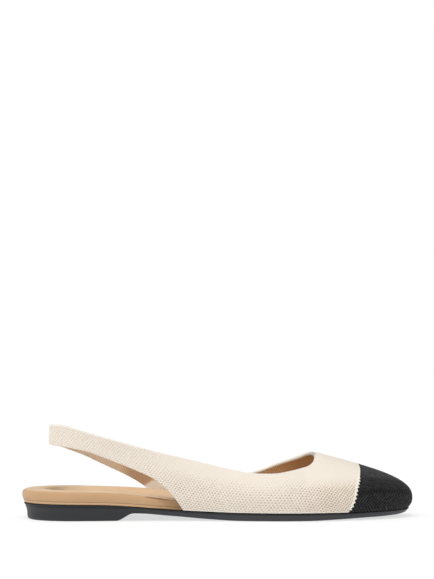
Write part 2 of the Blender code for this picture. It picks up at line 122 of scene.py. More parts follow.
Edge = namedtuple("Edge", "x z")
TOPLINE = {
    "lateral": table(
        Edge,
        (15, 59.5), (24, 59.9), (32, 58.2), (48, 53.6), (64, 49.2), (87, 43.1), (110, 37.9),
        (134, 32.6), (149, 30.6), (158, 30.7), (168, 31.9), (178, 33.6),
    ),
    "medial": table(
        Edge,
        (15, 59.5), (24, 58.8), (40, 53.4), (60, 46.4), (80, 40.0), (100, 34.2), (120, 29.2),
        (136, 26.4), (146, 26.2), (155, 28.3), (166, 32.8), (178, 37.5),
    ),
}
UNDERLINE = {
    "lateral": table(
        Edge,
        (15, 47.7), (17.4, 47.0), (19.6, 46.5), (25, 46.1), (40, 43.6), (56, 38.1), (72, 31.7),
        (83, 26.6), (91, 20.7), (97, 13.8), (102, 6.0),
    ),
    "medial": table(
        Edge,
        (15, 47.7), (17.4, 47.0), (19.6, 46.2), (25, 44.0), (38, 38.9), (53, 31.9), (68, 24.8),
        (78, 18.8), (86, 12.6), (93, 7.0),
    ),
}
CORNER_X = {side: UNDERLINE[side][-1].x for side in UNDERLINE}
SIGN = {"lateral": -1, "medial": 1}     # of y

Seam = namedtuple("Seam", "z x")
CAP_LINE = table(       # rear edge of the toe cap
    Seam,
    (0.0, 203.4), (4.5, 205.0), (8.6, 207.3), (13.6, 209.2), (19.8, 210.8), (26.6, 213.4),
    (32.6, 215.9), (37.6, 217.7), (56.0, 218.5),
)

Bed = namedtuple("Bed", "x lateral medial")
BED_RIM = table(
    Bed,
    (0, 19.2, 19.2), (30, 18.9, 18.9), (58, 18.2, 18.2), (78, 16.2, 17.3), (96, 13.6, 15.4),
    (116, 10.6, 11.8), (140, 8.9, 9.3), (180, 8.4, 8.4), (236, 9.8, 9.8), (253, 11.4, 11.4),
)
TUCK = {"lateral": (79.0, 97.0), "medial": (65.0, 83.0)}
SINK = (98.0, 116.0)
Ring = namedtuple("Ring", "rise heel_inset tuck_inset sink_inset")
BED_PROFILE = table(
    Ring,
    (0.00, 0.5, 3.5, 0.0), (0.10, 0.0, 3.4, 0.0), (0.22, -0.6, 3.5, 0.0), (0.36, -1.0, 3.6, 0.1),
    (0.50, -1.2, 3.7, 0.4), (0.66, -1.2, 3.6, 1.6), (0.80, -0.9, 3.3, 2.6), (0.87, -0.5, 2.6, 2.8),
    (0.90, -0.1, 0.6, 3.0), (0.94, 0.5, 0.1, 3.2), (0.985, 1.8, 1.4, 3.2), (1.00, 3.2, 2.6, 3.0),
)
BEAD_HEIGHT = 1.5       # piped band along the footbed's foot
CUP_REAR_X = 9.8
CUP_SIDE = 8.0
CUP_DEPTH = 3.4
CUP_RAMP = (-1.5, 4.0)  # where the seat starts to sink and where it is deep, in from the rim
CUP_CORNER = 12.0
CUP_FADE = (70.0, 112.0)
CUP_WALL_WIDTH = 2.0    # of the shaded band on the seat's rear wall
CUP_WALL_FADE = (19.0, 31.0)
CUP_WALL_SHADE = 0.6

Wall = namedtuple("Wall", "drop heel_inset front_inset toe_inset")
SOLE_PROFILE = table(
    Wall,
    (0.00, 0.45, 0.45, 0.45), (0.02, 0.10, 0.10, 0.10), (0.08, 0.10, 0.10, 0.10),
    (0.12, 0.35, 0.30, 0.30), (0.15, 0.85, 0.65, 0.70), (0.20, 0.85, 0.60, 0.70),
    (0.35, 1.45, 0.85, 1.00), (0.55, 1.90, 1.20, 1.60), (0.78, 2.05, 1.65, 2.50),
    (0.83, 2.10, 1.80, 2.90), (0.87, 2.30, 2.05, 3.40), (0.95, 2.60, 2.60, 4.60),
    (1.00, 3.70, 4.20, 8.00),
)

# Fineness of the meshes
SLING_STEPS = 36
SIDE_STEP = 1.25
VAMP_STEPS = 20
SEAM_STEPS = 36
TOE_STEPS = 44
COLUMN_ROWS = 150
TOE_SECTIONS = 260
SOLE_STEPS = (34, 16, 12, 84, 58)       # heel, seat, breast, waist and toe
BED_RINGS, SOLE_RINGS = 56, 60
BED_RUNGS, SOLE_RUNGS = (2, 44), (30, 4)        # across the bottom and the top
LOWER_STEPS = 24
UPPER_STEPS = 160
HALVINGS = 40
NEAR = 0.05             # distance to a neighbour that gives the outline's slope


def mix(a, b, share):
    return a + (b - a) * share


def ease(x, start, end):
    """0 before start, 1 after end, and a smooth rise between; x may be an array."""
    share = np.clip((x - start) / (end - start), 0.0, 1.0)
    return share * share * (3 - 2 * share)


def bell(x, middle, width):
    return np.exp(-(((x - middle) / width) ** 2))


def unit(vectors):
    return vectors / np.linalg.norm(vectors, axis=-1, keepdims=True)


def lengths_along(line):
    """Distance from a line's first point to each of its points."""
    return np.concatenate([[0], np.cumsum(np.linalg.norm(np.diff(line, axis=0), axis=1))])


def resampled(places, marks, line):
    """Points of a line at these places, where marks are the places of its own points."""
    return np.stack([np.interp(places, marks, line[:, axis]) for axis in range(3)], axis=1)


def curve(rows, column, x):
    """A table's column at x, its first column: a cubic through its rows that never overshoots."""
    xs = [row[0] for row in rows]
    ys = [getattr(row, column) for row in rows]
    if x <= xs[0]:
        return ys[0]
    if x >= xs[-1]:
        return ys[-1]
    slopes = [(ys[i + 1] - ys[i]) / (xs[i + 1] - xs[i]) for i in range(len(xs) - 1)]
    tangents = [slopes[0]]
    for before, after in zip(slopes, slopes[1:]):
        tangents.append(0.0 if before * after <= 0 else 2 * before * after / (before + after))
    tangents.append(slopes[-1])
    i = max(k for k in range(len(slopes)) if xs[k] <= x)
    width = xs[i + 1] - xs[i]
    t = (x - xs[i]) / width
    return (
        (2 * t**3 - 3 * t**2 + 1) * ys[i] + (t**3 - 2 * t**2 + t) * width * tangents[i]
        + (3 * t**2 - 2 * t**3) * ys[i + 1] + (t**3 - t**2) * width * tangents[i + 1]
    )


def refined(rows, count):
    """A profile table with count rows on one smooth line through its own."""
    kind = type(rows[0])
    own = np.array(rows)
    padded = np.vstack([2 * own[0] - own[1], own, 2 * own[-1] - own[-2]])
    fine = []
    for place in np.linspace(0, len(rows) - 1, count):
        i = min(int(place), len(rows) - 2)
        t = place - i
        a, b, c, d = padded[i:i + 4]
        fine.append(kind(*(0.5 * (
            2 * b + (c - a) * t + (2 * a - 5 * b + 4 * c - d) * t**2 + (3 * b - a - 3 * c + d) * t**3
        ))))
    return fine


def half_width(x, side):
    width = curve(OUTLINE, side, x)
    if x < HEEL_ROUND_X:
        share = min(1.0, (HEEL_ROUND_X - x) / (HEEL_ROUND_X - REAR_X))
        width *= (1 - share**HEEL_POWER) ** (1 / HEEL_POWER)
    if x > TOE_START[side]:
        share = min(1.0, (x - TOE_START[side]) / (TIP_X - TOE_START[side]))
        width *= (1 - share ** TOE_POWER[side]) ** (1 / TOE_POWER[side])
    return width


def spread(start, end, count):
    return [mix(start, end, (i + 1) / count) for i in range(count)]


def rounded(start, end, count, power):
    """Stations from start to end that crowd towards end, where the outline turns across the shoe."""
    return [mix(start, end, math.sin(math.pi / 2 * (i + 1) / count) ** (2 / power)) for i in range(count)]


def sole_stations():
    heel, seat, breast, waist, toe = SOLE_STEPS
    return (
        rounded(HEEL_ROUND_X, REAR_X, heel, HEEL_POWER)[::-1] + [HEEL_ROUND_X]
        + spread(HEEL_ROUND_X, BREAST_BACK_X, seat) + spread(BREAST_BACK_X, BREAST_FRONT_X, breast)
        + spread(BREAST_FRONT_X, TOE_START["medial"], waist)
        + rounded(TOE_START["medial"], TIP_X, toe, TOE_POWER["medial"])
    )


def edge_loop(stations):
    """Points, outward normals and sides of the outsole's edge: heel, lateral side, toe, medial side."""
    inner = stations[1:-1]
    sides = ["lateral"] * (len(inner) + 2) + ["medial"] * len(inner)
    lateral = [(x, -half_width(x, "lateral")) for x in inner]
    medial = [(x, half_width(x, "medial")) for x in reversed(inner)]
    points = np.array([(REAR_X, 0.0)] + lateral + [(TIP_X, 0.0)] + medial)
    along = unit(np.roll(points, -1, axis=0) - np.roll(points, 1, axis=0))
    normals = np.stack([along[:, 1], -along[:, 0]], axis=1)
    return points, normals, sides


def stacked_solid(rings, columns_low, columns_high, shape_high=None):
    """Vertices and faces of a solid of rings from the bottom up, closed by rungs across both ends."""
    count = len(rings[0])
    half = count // 2
    verts = [point for ring in rings for point in ring]
    faces = []
    for r in range(len(rings) - 1):
        for i in range(count):
            j = (i + 1) % count
            faces.append((r * count + i, r * count + j, (r + 1) * count + j, (r + 1) * count + i))
    for ring, start, columns, shape in (
        (rings[0], 0, columns_low, None),
        (rings[-1], (len(rings) - 1) * count, columns_high, shape_high),
    ):
        rows = [[start]]
        for i in range(1, half):
            first = len(verts)
            for c in range(1, columns):
                point = mix(ring[i], ring[-i], c / columns)
                verts.append(shape(point) if shape else point)
            rows.append([start + i] + list(range(first, len(verts))) + [start + count - i])
        rows.append([start + half])
        for back, front in zip(rows, rows[1:]):
            for c in range(columns):
                if len(back) == 1:
                    face = (back[0], front[c], front[c + 1])
                elif len(front) == 1:
                    face = (back[c], front[0], back[c + 1])
                else:
                    face = (back[c], front[c], front[c + 1], back[c + 1])
                faces.append(face if start else tuple(reversed(face)))
    return np.array(verts), faces


def bed_base(x):
    return curve(SOLE, "top", x) + GAP


def sole_bottom(x):
    return curve(SOLE, "bottom", x) * float(ease(x, BREAST_BACK_X, BREAST_FRONT_X))


def new_piece(name, verts, faces, finish, replaces=None):
    """A smooth mesh on the shoe's one body, from an array of points in millimetres, with its material."""
    verts = (verts.reshape(-1, 3) + np.array([heel_x, LONG_AXIS_Y, 0.0])) * MM
    mesh = bpy.data.meshes.new(name)
    mesh.from_pydata(verts.tolist(), [], faces)
    mesh.validate()
    mesh.shade_smooth()
    mesh.materials.append(finish)
    piece = bpy.data.objects.new(name, mesh)
    bpy.context.scene.collection.objects.link(piece)
    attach(piece, "root")
    if replaces:
        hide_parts(replaces)
    return piece


def keep_value(piece, name, values):
    """Stores one number for each vertex."""
    layer = piece.data.attributes.new(name, "FLOAT", "POINT")
    layer.data.foreach_set("value", np.asarray(values, dtype=np.float32).ravel())


def keep_pair(piece, name, first, second):
    """Stores two numbers for each vertex as a UV map."""
    pairs = np.stack([np.ravel(first), np.ravel(second)], axis=1).astype(np.float32)
    corners = np.zeros(len(piece.data.loops), dtype=np.int32)
    piece.data.loops.foreach_get("vertex_index", corners)
    piece.data.uv_layers.new(name=name).data.foreach_set("uv", pairs[corners].ravel())


# The upper's outer face, column by column

Column = namedtuple("Column", "centre wide foot foot_z widest_z ridge_z form low high_z high_r")


def wall_curve(column):
    """Points up one column of the upper's outside, from its lower edge to its top edge."""
    out = column.wide - column.centre
    reach = out.length
    direction = out.normalized()
    low = (column.wide - column.foot).dot(direction)
    rise = column.ridge_z - column.widest_z - column.form.slope * reach
    points = []
    for i in range(LOWER_STEPS + 1):
        q = 1 - i / LOWER_STEPS
        z = mix(column.widest_z, column.foot_z, q)
        plan = column.wide - direction * (low * q * q)
        points.append(Vector((plan.x, plan.y, z)))
    for i in range(1, UPPER_STEPS + 1):
        turn = math.pi / 2 * i / UPPER_STEPS
        r = reach * math.cos(turn) ** (2 / column.form.n)
        z = column.widest_z + rise * math.sin(turn) ** (2 / column.form.m) + column.form.slope * (reach - r)
        plan = column.centre + direction * r
        points.append(Vector((plan.x, plan.y, z)))
        if is_past_top(z, r, column):
            points[-1] = cut_back(points[-2], points[-1], column)
            break
    if column.low > column.foot_z:
        above = next(k for k in range(1, len(points)) if points[k].z > column.low)
        share = (column.low - points[above - 1].z) / (points[above].z - points[above - 1].z)
        points = [points[above - 1].lerp(points[above], share)] + points[above:]
    return points


def is_past_top(z, r, column):
    if column.high_z is not None:
        return z >= column.high_z
    return r <= column.high_r


def cut_back(before, after, column):
    """The point between two where the column reaches its top edge."""
    if column.high_z is not None:
        share = (column.high_z - before.z) / (after.z - before.z)
    else:
        near = (before.xy - column.centre).length
        far = (after.xy - column.centre).length
        share = (near - column.high_r) / (near - far)
    return before.lerp(after, share)


def side_column(x, side, plan=None):
    """A column across the shoe at x, or one round the heel where plan gives its place."""
    sign = SIGN[side]
    edge = half_width(max(x, SLING_ROUND_X), side)
    wide = plan or Vector((x, sign * (edge + curve(SECTIONS, side + "_bulge", x))))
    centre = Vector((SLING_ROUND_X, 0.0)) if x < SLING_ROUND_X else Vector((x, curve(SECTIONS, "ridge_y", x)))
    foot = Vector((x, sign * (edge - FEATHER_INSET))) if x >= CORNER_X[side] - WALL_FADE else wide
    foot_z = bed_base(x)
    form = SIDE_FORM[side]._replace(slope=curve(SECTIONS, side + "_slope", x))
    low = curve(UNDERLINE[side], "z", x) if x < CORNER_X[side] - NEAR else foot_z
    return Column(
        centre, wide, foot, foot_z, curve(SECTIONS, "widest_z", x), curve(SECTIONS, "ridge_z", x), form,
        max(low, foot_z), curve(TOPLINE[side], "z", x), None,
    )


def throat_radius(side_reach, along):
    """Distance of the throat's edge from the fan point; the edge passes side_reach beside that point."""
    ahead = FAN.x - THROAT_CENTRE_X
    depth = THROAT_X - THROAT_CENTRE_X
    width = side_reach / (1 - (ahead / depth) ** THROAT_POWER) ** (1 / THROAT_POWER)
    low, high = 0.0, side_reach + depth
    for _ in range(HALVINGS):
        radius = (low + high) / 2
        forward = max(0.0, ahead + radius * along.x) / depth
        if forward**THROAT_POWER + (radius * abs(along.y) / width) ** THROAT_POWER < 1:
            low = radius
        else:
            high = radius
    return radius


def toe_column(x, side, side_reach):
    """A column that fans out from the fan point to the toe's outline at x."""
    y = half_width(x, side) if x < TIP_X else 0.0
    x_back = max(x - NEAR, FAN.x)
    slope = (half_width(x_back, side) - y) / max(x - x_back, 1e-6)
    normal = Vector((slope, float(SIGN[side]))).normalized() if x < TIP_X else Vector((1.0, 0.0))
    edge = Vector((x, SIGN[side] * y))
    along = (edge - FAN).normalized()
    front = max(0.0, along.x) ** 2
    form = Form(*[mix(a, b, front) for a, b in zip(SIDE_FORM[side], TOE_FORM)])
    return Column(
        FAN, edge + normal * form.bulge, edge - normal * FEATHER_INSET, bed_base(x),
        mix(curve(SECTIONS, "widest_z", FAN.x), TOE_WIDEST_Z, front), FAN_Z, form,
        0.0, None, throat_radius(side_reach, along),
    )


def sling_plan(side, share):
    """A point on the sling's loop round the heel; share runs from 0 at the back to 1 at the side."""
    width = half_width(SLING_ROUND_X, side) + curve(SECTIONS, side + "_bulge", SLING_ROUND_X)
    turn = math.pi / 2 * share
    x = SLING_ROUND_X - (SLING_ROUND_X - SLING_REAR_X) * math.cos(turn) ** (2 / SLING_POWER)
    return Vector((x, SIGN[side] * width * math.sin(turn) ** (2 / SLING_POWER)))


def upper_side(side):
    """Columns of one side, from just past the back of the heel to just short of the toe's tip."""
    columns = []
    for i in range(1, SLING_STEPS):
        plan = sling_plan(side, i / SLING_STEPS)
        columns.append(side_column(plan.x, side, plan))
    corner = CORNER_X[side]
    stations = [SLING_ROUND_X] + spread(SLING_ROUND_X, corner, round((corner - SLING_ROUND_X) / SIDE_STEP))
    stations += spread(corner, FAN.x, round((FAN.x - corner) / SIDE_STEP))
    columns += [side_column(x, side) for x in stations]
    side_reach = abs(wall_curve(columns[-1])[-1].y - FAN.y)
    seam_start, seam_end = CAP_LINE[0].x - 1, CAP_LINE[-1].x + 1
    toe = spread(FAN.x, seam_start, VAMP_STEPS) + spread(seam_start, seam_end, SEAM_STEPS)
    toe += rounded(seam_end, TIP_X, TOE_STEPS, TOE_POWER["medial"])[:-1]
    columns += [toe_column(x, side, side_reach) for x in toe]
    return columns, side_reach


def upper_columns():
    lateral, lateral_reach = upper_side("lateral")
    medial, _ = upper_side("medial")
    back = sling_plan("lateral", 0.0)
    heel = side_column(back.x, "lateral", back)
    tip = toe_column(TIP_X, "lateral", lateral_reach)
    return [heel] + lateral + [tip] + medial[::-1], 1 + len(lateral)


EDGE_DROP = 0.8         # how far the throat's edge settles towards the foot
EDGE_DROP_REACH = 6.0


class Surface:
    """The upper's outer face: points, outward normals and arc lengths up each column."""

    def __init__(self):
        columns, self.tip = upper_columns()
        grid, lengths = [], []
        for column in columns:
            line = np.array([tuple(p) for p in wall_curve(column)])
            marks = lengths_along(line)
            grid.append(resampled(np.linspace(0, marks[-1], COLUMN_ROWS), marks, line))
            lengths.append(marks[-1])
        self.points = np.array(grid)
        self.length = np.array(lengths)
        self.count = len(columns)
        self.normals = self._normals()
        from_top = self.length[:, None] * np.linspace(1, 0, COLUMN_ROWS)[None, :]
        faces_up = np.clip(self.normals[:, -1, 2], 0, 1)[:, None]
        self.points[:, :, 2] -= EDGE_DROP * faces_up * ease(from_top, EDGE_DROP_REACH, 0.0)
        self.normals = self._normals()
        self.toe = [k for k, column in enumerate(columns) if column.high_r is not None]
        self.height = self._heights()

    def _normals(self):
        around = np.roll(self.points, -1, axis=0) - np.roll(self.points, 1, axis=0)
        return unit(np.cross(around, np.gradient(self.points, axis=1)))

    def _heights(self):
        """Distance up from the ground along the wall, at constant x also where the columns fan out."""
        start = self.points[:, :1, 2]
        share = np.linspace(0, 1, COLUMN_ROWS)[None, :]
        heights = start + share * self.length[:, None]
        first, last = self.toe[0], self.toe[-1]
        for ks in (range(first - 1, self.tip + 1), range(last + 1, self.tip - 1, -1)):
            ks = list(ks)
            part = self.points[ks]
            xs = np.linspace(FAN.x, TIP_X, TOE_SECTIONS)
            section = np.empty((len(xs), COLUMN_ROWS, 3))
            for j in range(COLUMN_ROWS):
                section[:, j] = resampled(xs, np.maximum.accumulate(part[:, j, 0]), part[:, j])
            steps = np.linalg.norm(np.diff(section, axis=1), axis=2)
            climbed = np.concatenate([np.zeros((len(xs), 1)), np.cumsum(steps, axis=1)], axis=1)
            climbed += section[:, :1, 2]
            for j in range(COLUMN_ROWS):
                heights[ks, j] = np.interp(part[:, j, 0], xs, climbed[:, j])
        return heights

    def at(self, values, k, along):
        """Values of the columns k at these distances up them."""
        rows = np.arange(COLUMN_ROWS)
        place = along / self.length[k] * (COLUMN_ROWS - 1)
        if values.ndim == 2:
            return np.interp(place, rows, values[k])
        return resampled(place, rows, values[k])


def tube_faces(columns, ring, closed):
    """Quads between columns of ring points each, where each column is a closed section."""
    faces = []
    for k in range(columns if closed else columns - 1):
        here, there = k * ring, (k + 1) % columns * ring
        for j in range(ring):
            n = (j + 1) % ring
            faces.append((here + j, there + j, there + n, here + n))
    if not closed:
        faces.append(tuple(reversed(range(ring))))
        faces.append(tuple(range((columns - 1) * ring, columns * ring)))
    return faces


def arc(centre, radius, first, last, count):
    """Pairs (along, depth) on an arc; 0 degrees points up the wall and 90 degrees out of it."""
    turns = np.radians(np.linspace(first, last, count))
    return [(centre[0] + radius * math.cos(t), centre[1] - radius * math.sin(t)) for t in turns]


def cap_seam_x(z):
    return np.array([curve(CAP_LINE, "x", value) for value in np.ravel(z)]).reshape(np.shape(z))


ROLL = 1.1              # radius of the rolled edge over the wall's whole thickness
WRAP = 1.7              # how far the roll reaches down the inside
FOOT_ROLL = 0.62
LINING_CLEAR = 0.02     # between the lining and its neighbours
ROLL_ROWS, ROUND_ROWS, FOOT_ROWS = 13, 7, 9
FACE_ROWS, HIDDEN_ROWS = 72, 30
LINING_ROWS = (24, 58)  # on its hidden and its seen face


def knit_section(length):
    """The knit's section at one column as pairs (distance up the wall, depth below its outer face)."""
    outer = [(a, 0.0) for a in np.linspace(FOOT_ROLL, length - ROLL, FACE_ROWS)[:-1]]
    top = arc((length - ROLL, ROLL), ROLL, 90, -90, ROLL_ROWS)
    inside = [(length - WRAP + 0.15, WALL), (length - WRAP, WALL - 0.25), (length - WRAP, KNIT + 0.1)]
    hidden = [(a, KNIT) for a in np.linspace(length - WRAP - 0.1, FOOT_ROLL, HIDDEN_ROWS)]
    foot = arc((FOOT_ROLL, KNIT / 2), KNIT / 2, -90, -270, FOOT_ROWS)[1:]
    return np.array(outer + top + inside + hidden + foot[:-1])


def lining_section(length):
    radius = (WALL - KNIT - 4 * LINING_CLEAR) / 2
    middle = WALL - radius - LINING_CLEAR
    top = length - WRAP - radius - LINING_CLEAR
    low = 0.25 + radius
    rising = [(a, middle - radius) for a in np.linspace(low, top, LINING_ROWS[0])[:-1]]
    over = arc((top, middle), radius, 90, -90, ROUND_ROWS)
    falling = [(a, middle + radius) for a in np.linspace(top, low, LINING_ROWS[1])[1:-1]]
    under = arc((low, middle), radius, -90, -270, ROUND_ROWS)[:-1]
    return np.array(rising + over + falling + under)


def shell(surface, section_of, relief):
    """Points of a closed layer that follows the upper, with each point's place up the wall and depth."""
    points, along, depth = [], [], []
    for k in range(surface.count):
        section = section_of(surface.length[k])
        base = surface.at(surface.points, k, section[:, 0])
        normal = unit(surface.at(surface.normals, k, section[:, 0]))
        height = surface.at(surface.height, k, section[:, 0])
        lift = relief(surface, k, section, base) if relief else 0.0
        points.append(base + normal * (lift - section[:, 1])[:, None])
        along.append(np.stack([section[:, 0], height], axis=1))
        depth.append(section[:, 1])
    return np.array(points), np.array(along), np.array(depth)


def knit_relief(surface, k, section, base):
    """Beads along the edges, and the step under the toe cap."""
    outside = 1 - ease(section[:, 1], 0.0, 0.6)
    from_top = surface.length[k] - section[:, 0]
    throat = ease(base[:, 0], 140.0, 160.0)
    roll = mix(0.06, 0.2, throat) * bell(from_top, 0.9, 0.5) - 0.05 * bell(from_top, 2.1, 0.4)
    lift = outside * (roll + 0.2 * bell(section[:, 0], 0.6, 0.35) * (base[:, 0] > CORNER_X["medial"]))
    under_cap = ease(base[:, 0] - cap_seam_x(base[:, 2]), 0.1, 1.1)
    return lift - outside * under_cap * (CAP_WALL + 0.1)


# Stitch lattice of the knit: the rows follow the shoe's own lines, and the diagonals run up to the toe

Course = namedtuple("Course", "x fall pitch")
COURSES = table(        # how steeply the rows fall towards the toe, and their spacing
    Course,
    (0, 0.26, 1.24), (60, 0.27, 1.26), (112, 0.24, 1.46), (130, 0.16, 1.52), (146, 0.04, 1.56),
    (166, 0.02, 1.58), (180, 0.13, 1.58), (191, 0.27, 1.58), (204, 0.52, 1.58), (220, 0.70, 1.58),
)
DIAGONAL = (0.452, -0.388)      # diagonals per millimetre forward and up


def stitch_phases(x, height):
    xs = np.arange(0.0, 260.0, 1.0)
    fall = np.array([curve(COURSES, "fall", v) for v in xs])
    pitch = np.array([curve(COURSES, "pitch", v) for v in xs])
    drop = np.concatenate([[0], np.cumsum((fall[1:] + fall[:-1]) / 2)])
    drop -= np.interp(150.0, xs, drop)
    diagonal = DIAGONAL[0] * x + DIAGONAL[1] * height
    row = (height + np.interp(x, xs, drop)) / np.interp(x, xs, pitch)
    return diagonal, row


def around_lengths(points):
    """Distance round the shoe to each column, measured a quarter of the way up its wall."""
    return lengths_along(points[:, points.shape[1] // 4])


class Finish:
    """A material under construction: a Principled shader and the nodes that feed it."""

    def __init__(self, name, roughness, sheen=0.0, specular=0.5):
        self.material = bpy.data.materials.new(name)
        self.material.use_nodes = True
        self.tree = self.material.node_tree
        self.shader = self.tree.nodes["Principled BSDF"]
        constants = {
            "Roughness": roughness, "Sheen Weight": sheen, "Sheen Roughness": 0.5,
            "Specular IOR Level": specular,
        }
        for socket, value in constants.items():
            self.shader.inputs[socket].default_value = value

    def feed(self, socket, value):
        if isinstance(value, bpy.types.NodeSocket):
            self.tree.links.new(value, socket)
        elif isinstance(value, tuple) and len(value) == 3 and socket.type == "RGBA":
            socket.default_value = (*value, 1.0)
        else:
            socket.default_value = value

    def node(self, kind, inputs=(), **settings):
        made = self.tree.nodes.new("ShaderNode" + kind)
        for name, value in settings.items():
            setattr(made, name, value)
        for key, value in dict(inputs).items():
            self.feed(made.inputs[key], value)
        return made

    def sums(self, operation, *values):
        return self.node("Math", dict(enumerate(values)), operation=operation).outputs[0]

    def times(self, a, b):
        return self.sums("MULTIPLY", a, b)

    def over(self, a, b):
        return self.sums("DIVIDE", a, b)

    def scaled(self, value, factor, plus):
        return self.sums("MULTIPLY_ADD", value, factor, plus)

    def value(self, name):
        return self.node("Attribute", attribute_name=name).outputs["Fac"]

    def pair(self, name):
        split = self.node("SeparateXYZ", {0: self.node("UVMap", uv_map=name).outputs[0]})
        return split.outputs[0], split.outputs[1]

    def place(self):
        return self.node("TexCoord").outputs["Object"]

    def vector(self, x, y):
        return self.node("CombineXYZ", {0: x, 1: y}).outputs[0]

    def noise(self, size, detail=2.0):
        """Noise with features of that size in millimetres."""
        inputs = {"Vector": self.place(), "Scale": 1.0 / (size * MM), "Detail": detail}
        return self.node("TexNoise", inputs).outputs["Fac"]

    def step(self, value, start, end):
        """0 to 1 as value goes from start to end, which may be the smaller."""
        low, high, ends = (start, end, (0.0, 1.0)) if start < end else (end, start, (1.0, 0.0))
        made = self.node(
            "MapRange", {0: value, 1: low, 2: high, 3: ends[0], 4: ends[1]}, interpolation_type="SMOOTHSTEP"
        )
        return made.outputs[0]

    def blend(self, share, a, b):
        made = self.node("Mix", data_type="RGBA")
        for index, value in ((0, share), (6, a), (7, b)):
            self.feed(made.inputs[index], value)
        return made.outputs[2]

    def wave(self, phase):
        """A smooth ridge from 0 to 1 once in each unit of phase."""
        turned = self.sums("COSINE", self.times(phase, 2 * math.pi))
        return self.scaled(turned, 0.5, 0.5)

    def glow(self, strength):
        self.shader.inputs["Emission Color"].default_value = (1.0, 1.0, 1.0, 1.0)
        self.shader.inputs["Emission Strength"].default_value = strength

    def done(self, colour, height=None, depth=0.2):
        """Ends the material; depth is the relief's height in millimetres."""
        self.feed(self.shader.inputs["Base Color"], colour)
        if height:
            bump = self.node("Bump", {"Height": height, "Distance": depth * MM, "Strength": 1.0})
            self.feed(self.shader.inputs["Normal"], bump.outputs[0])
        return self.material


def colour(code):
    """Linear colour of a six digit code."""
    parts = [int(code[i:i + 2], 16) / 255 for i in (0, 2, 4)]
    return tuple(p / 12.92 if p <= 0.04045 else ((p + 0.055) / 1.055) ** 2.4 for p in parts)


CREAM = colour("F1E6D7")
WHITE_YARN = colour("F8F2E8")
SHADE_YARN = colour("C9A283")
# Painted shade for the dips between the knit's diagonal ridges.
DIP_SHADE = colour("D9C4AC")


def knit_finish():
    """Cream yarn with a dark gap between stitches, smooth on the vamp and white on the rolled edges, with a
    painted highlight on the stitch ridges and painted shade in the dips between the toe's diagonals.
    """
    made = Finish("cream_knit", 0.9, sheen=0.15, specular=0.2)
    diagonal, row = made.pair("stitch")
    nearest = [made.sums("ROUND", phase) for phase in (diagonal, row)]
    a = made.sums("SUBTRACT", diagonal, nearest[0])
    b = made.sums("SUBTRACT", row, nearest[1])
    forward = made.scaled(a, 2.2, made.times(b, 1.34))
    up = made.times(b, 1.57)
    long_axis = made.over(made.scaled(up, -0.35, forward), 0.85)
    short_axis = made.over(made.scaled(forward, 0.35, up), 0.55)
    squares = made.sums("ADD", made.times(long_axis, long_axis), made.times(short_axis, short_axis))
    away = made.sums("SQRT", squares)
    dot = made.step(away, 1.15, 0.35)
    chance = made.node("TexWhiteNoise", {"Vector": made.vector(*nearest)}).outputs["Value"]
    strength = made.value("stitches")
    weight = made.times(made.scaled(chance, 0.5, 0.35), strength)
    shade = made.times(dot, weight)
    yarn = made.blend(made.times(made.noise(9.0), 0.3), CREAM, WHITE_YARN)
    ridge = made.wave(made.sums("ADD", diagonal, 0.5))
    # Painted highlight on the stitch ridges.
    yarn = made.blend(made.times(ridge, made.times(strength, 0.25)), yarn, WHITE_YARN)
    # Painted shade in the dips between the diagonal ridges at the toe.
    diagonals = made.times(made.value("diagonals"), strength)
    dip_shade = made.times(made.sums("SUBTRACT", 1.0, ridge), diagonals)
    yarn = made.blend(made.times(dip_shade, 0.6), yarn, DIP_SHADE)
    dotted = made.blend(shade, yarn, SHADE_YARN)
    edge = made.value("edge")
    shown = made.blend(edge, dotted, WHITE_YARN)
    along, _ = made.pair("metric")
    ribs = made.wave(made.over(along, 1.05))
    relief = made.times(made.sums("SUBTRACT", ridge, made.times(dot, 1.2)), strength)
    relief = made.scaled(made.times(ribs, edge), 0.7, relief)
    relief = made.scaled(made.noise(0.35, 3.0), 0.5, relief)
    return made.done(shown, relief, 0.22)


def lining_finish():
    """Brown knitted lining in fine ribs; cream where the knit's own back shows low in the quarter."""
    made = Finish("brown_lining", 0.9, sheen=0.1, specular=0.2)
    along, height = made.pair("metric")
    phase = made.over(made.scaled(height, 0.36, along), 1.28)
    ribs = made.wave(phase)
    knots = made.wave(made.sums("ADD", made.over(height, 1.1), made.times(phase, 0.5)))
    light = made.times(ribs, made.scaled(knots, 0.6, 0.4))
    brown = made.blend(light, colour("B88555"), colour("FFDFB4"))
    tan = made.blend(light, colour("CDB095"), colour("FBE9D4"))
    brown = made.blend(made.value("strap"), brown, tan)
    brown = made.blend(made.value("plain"), brown, colour("BC9A7C"))
    cream = made.blend(light, colour("F0E4D4"), colour("FFFAF2"))
    relief = made.sums("ADD", light, made.times(made.noise(0.4), 0.4))
    return made.done(made.blend(made.value("pale"), brown, cream), relief, 0.25)


RIBS_PER_MM = 0.45
RIB_TURNS = ((0.0, 9.0, 18.4, 60.0), (0.0, 9.0, -0.4, 41.2))    # heights where the ribs turn, and their climb


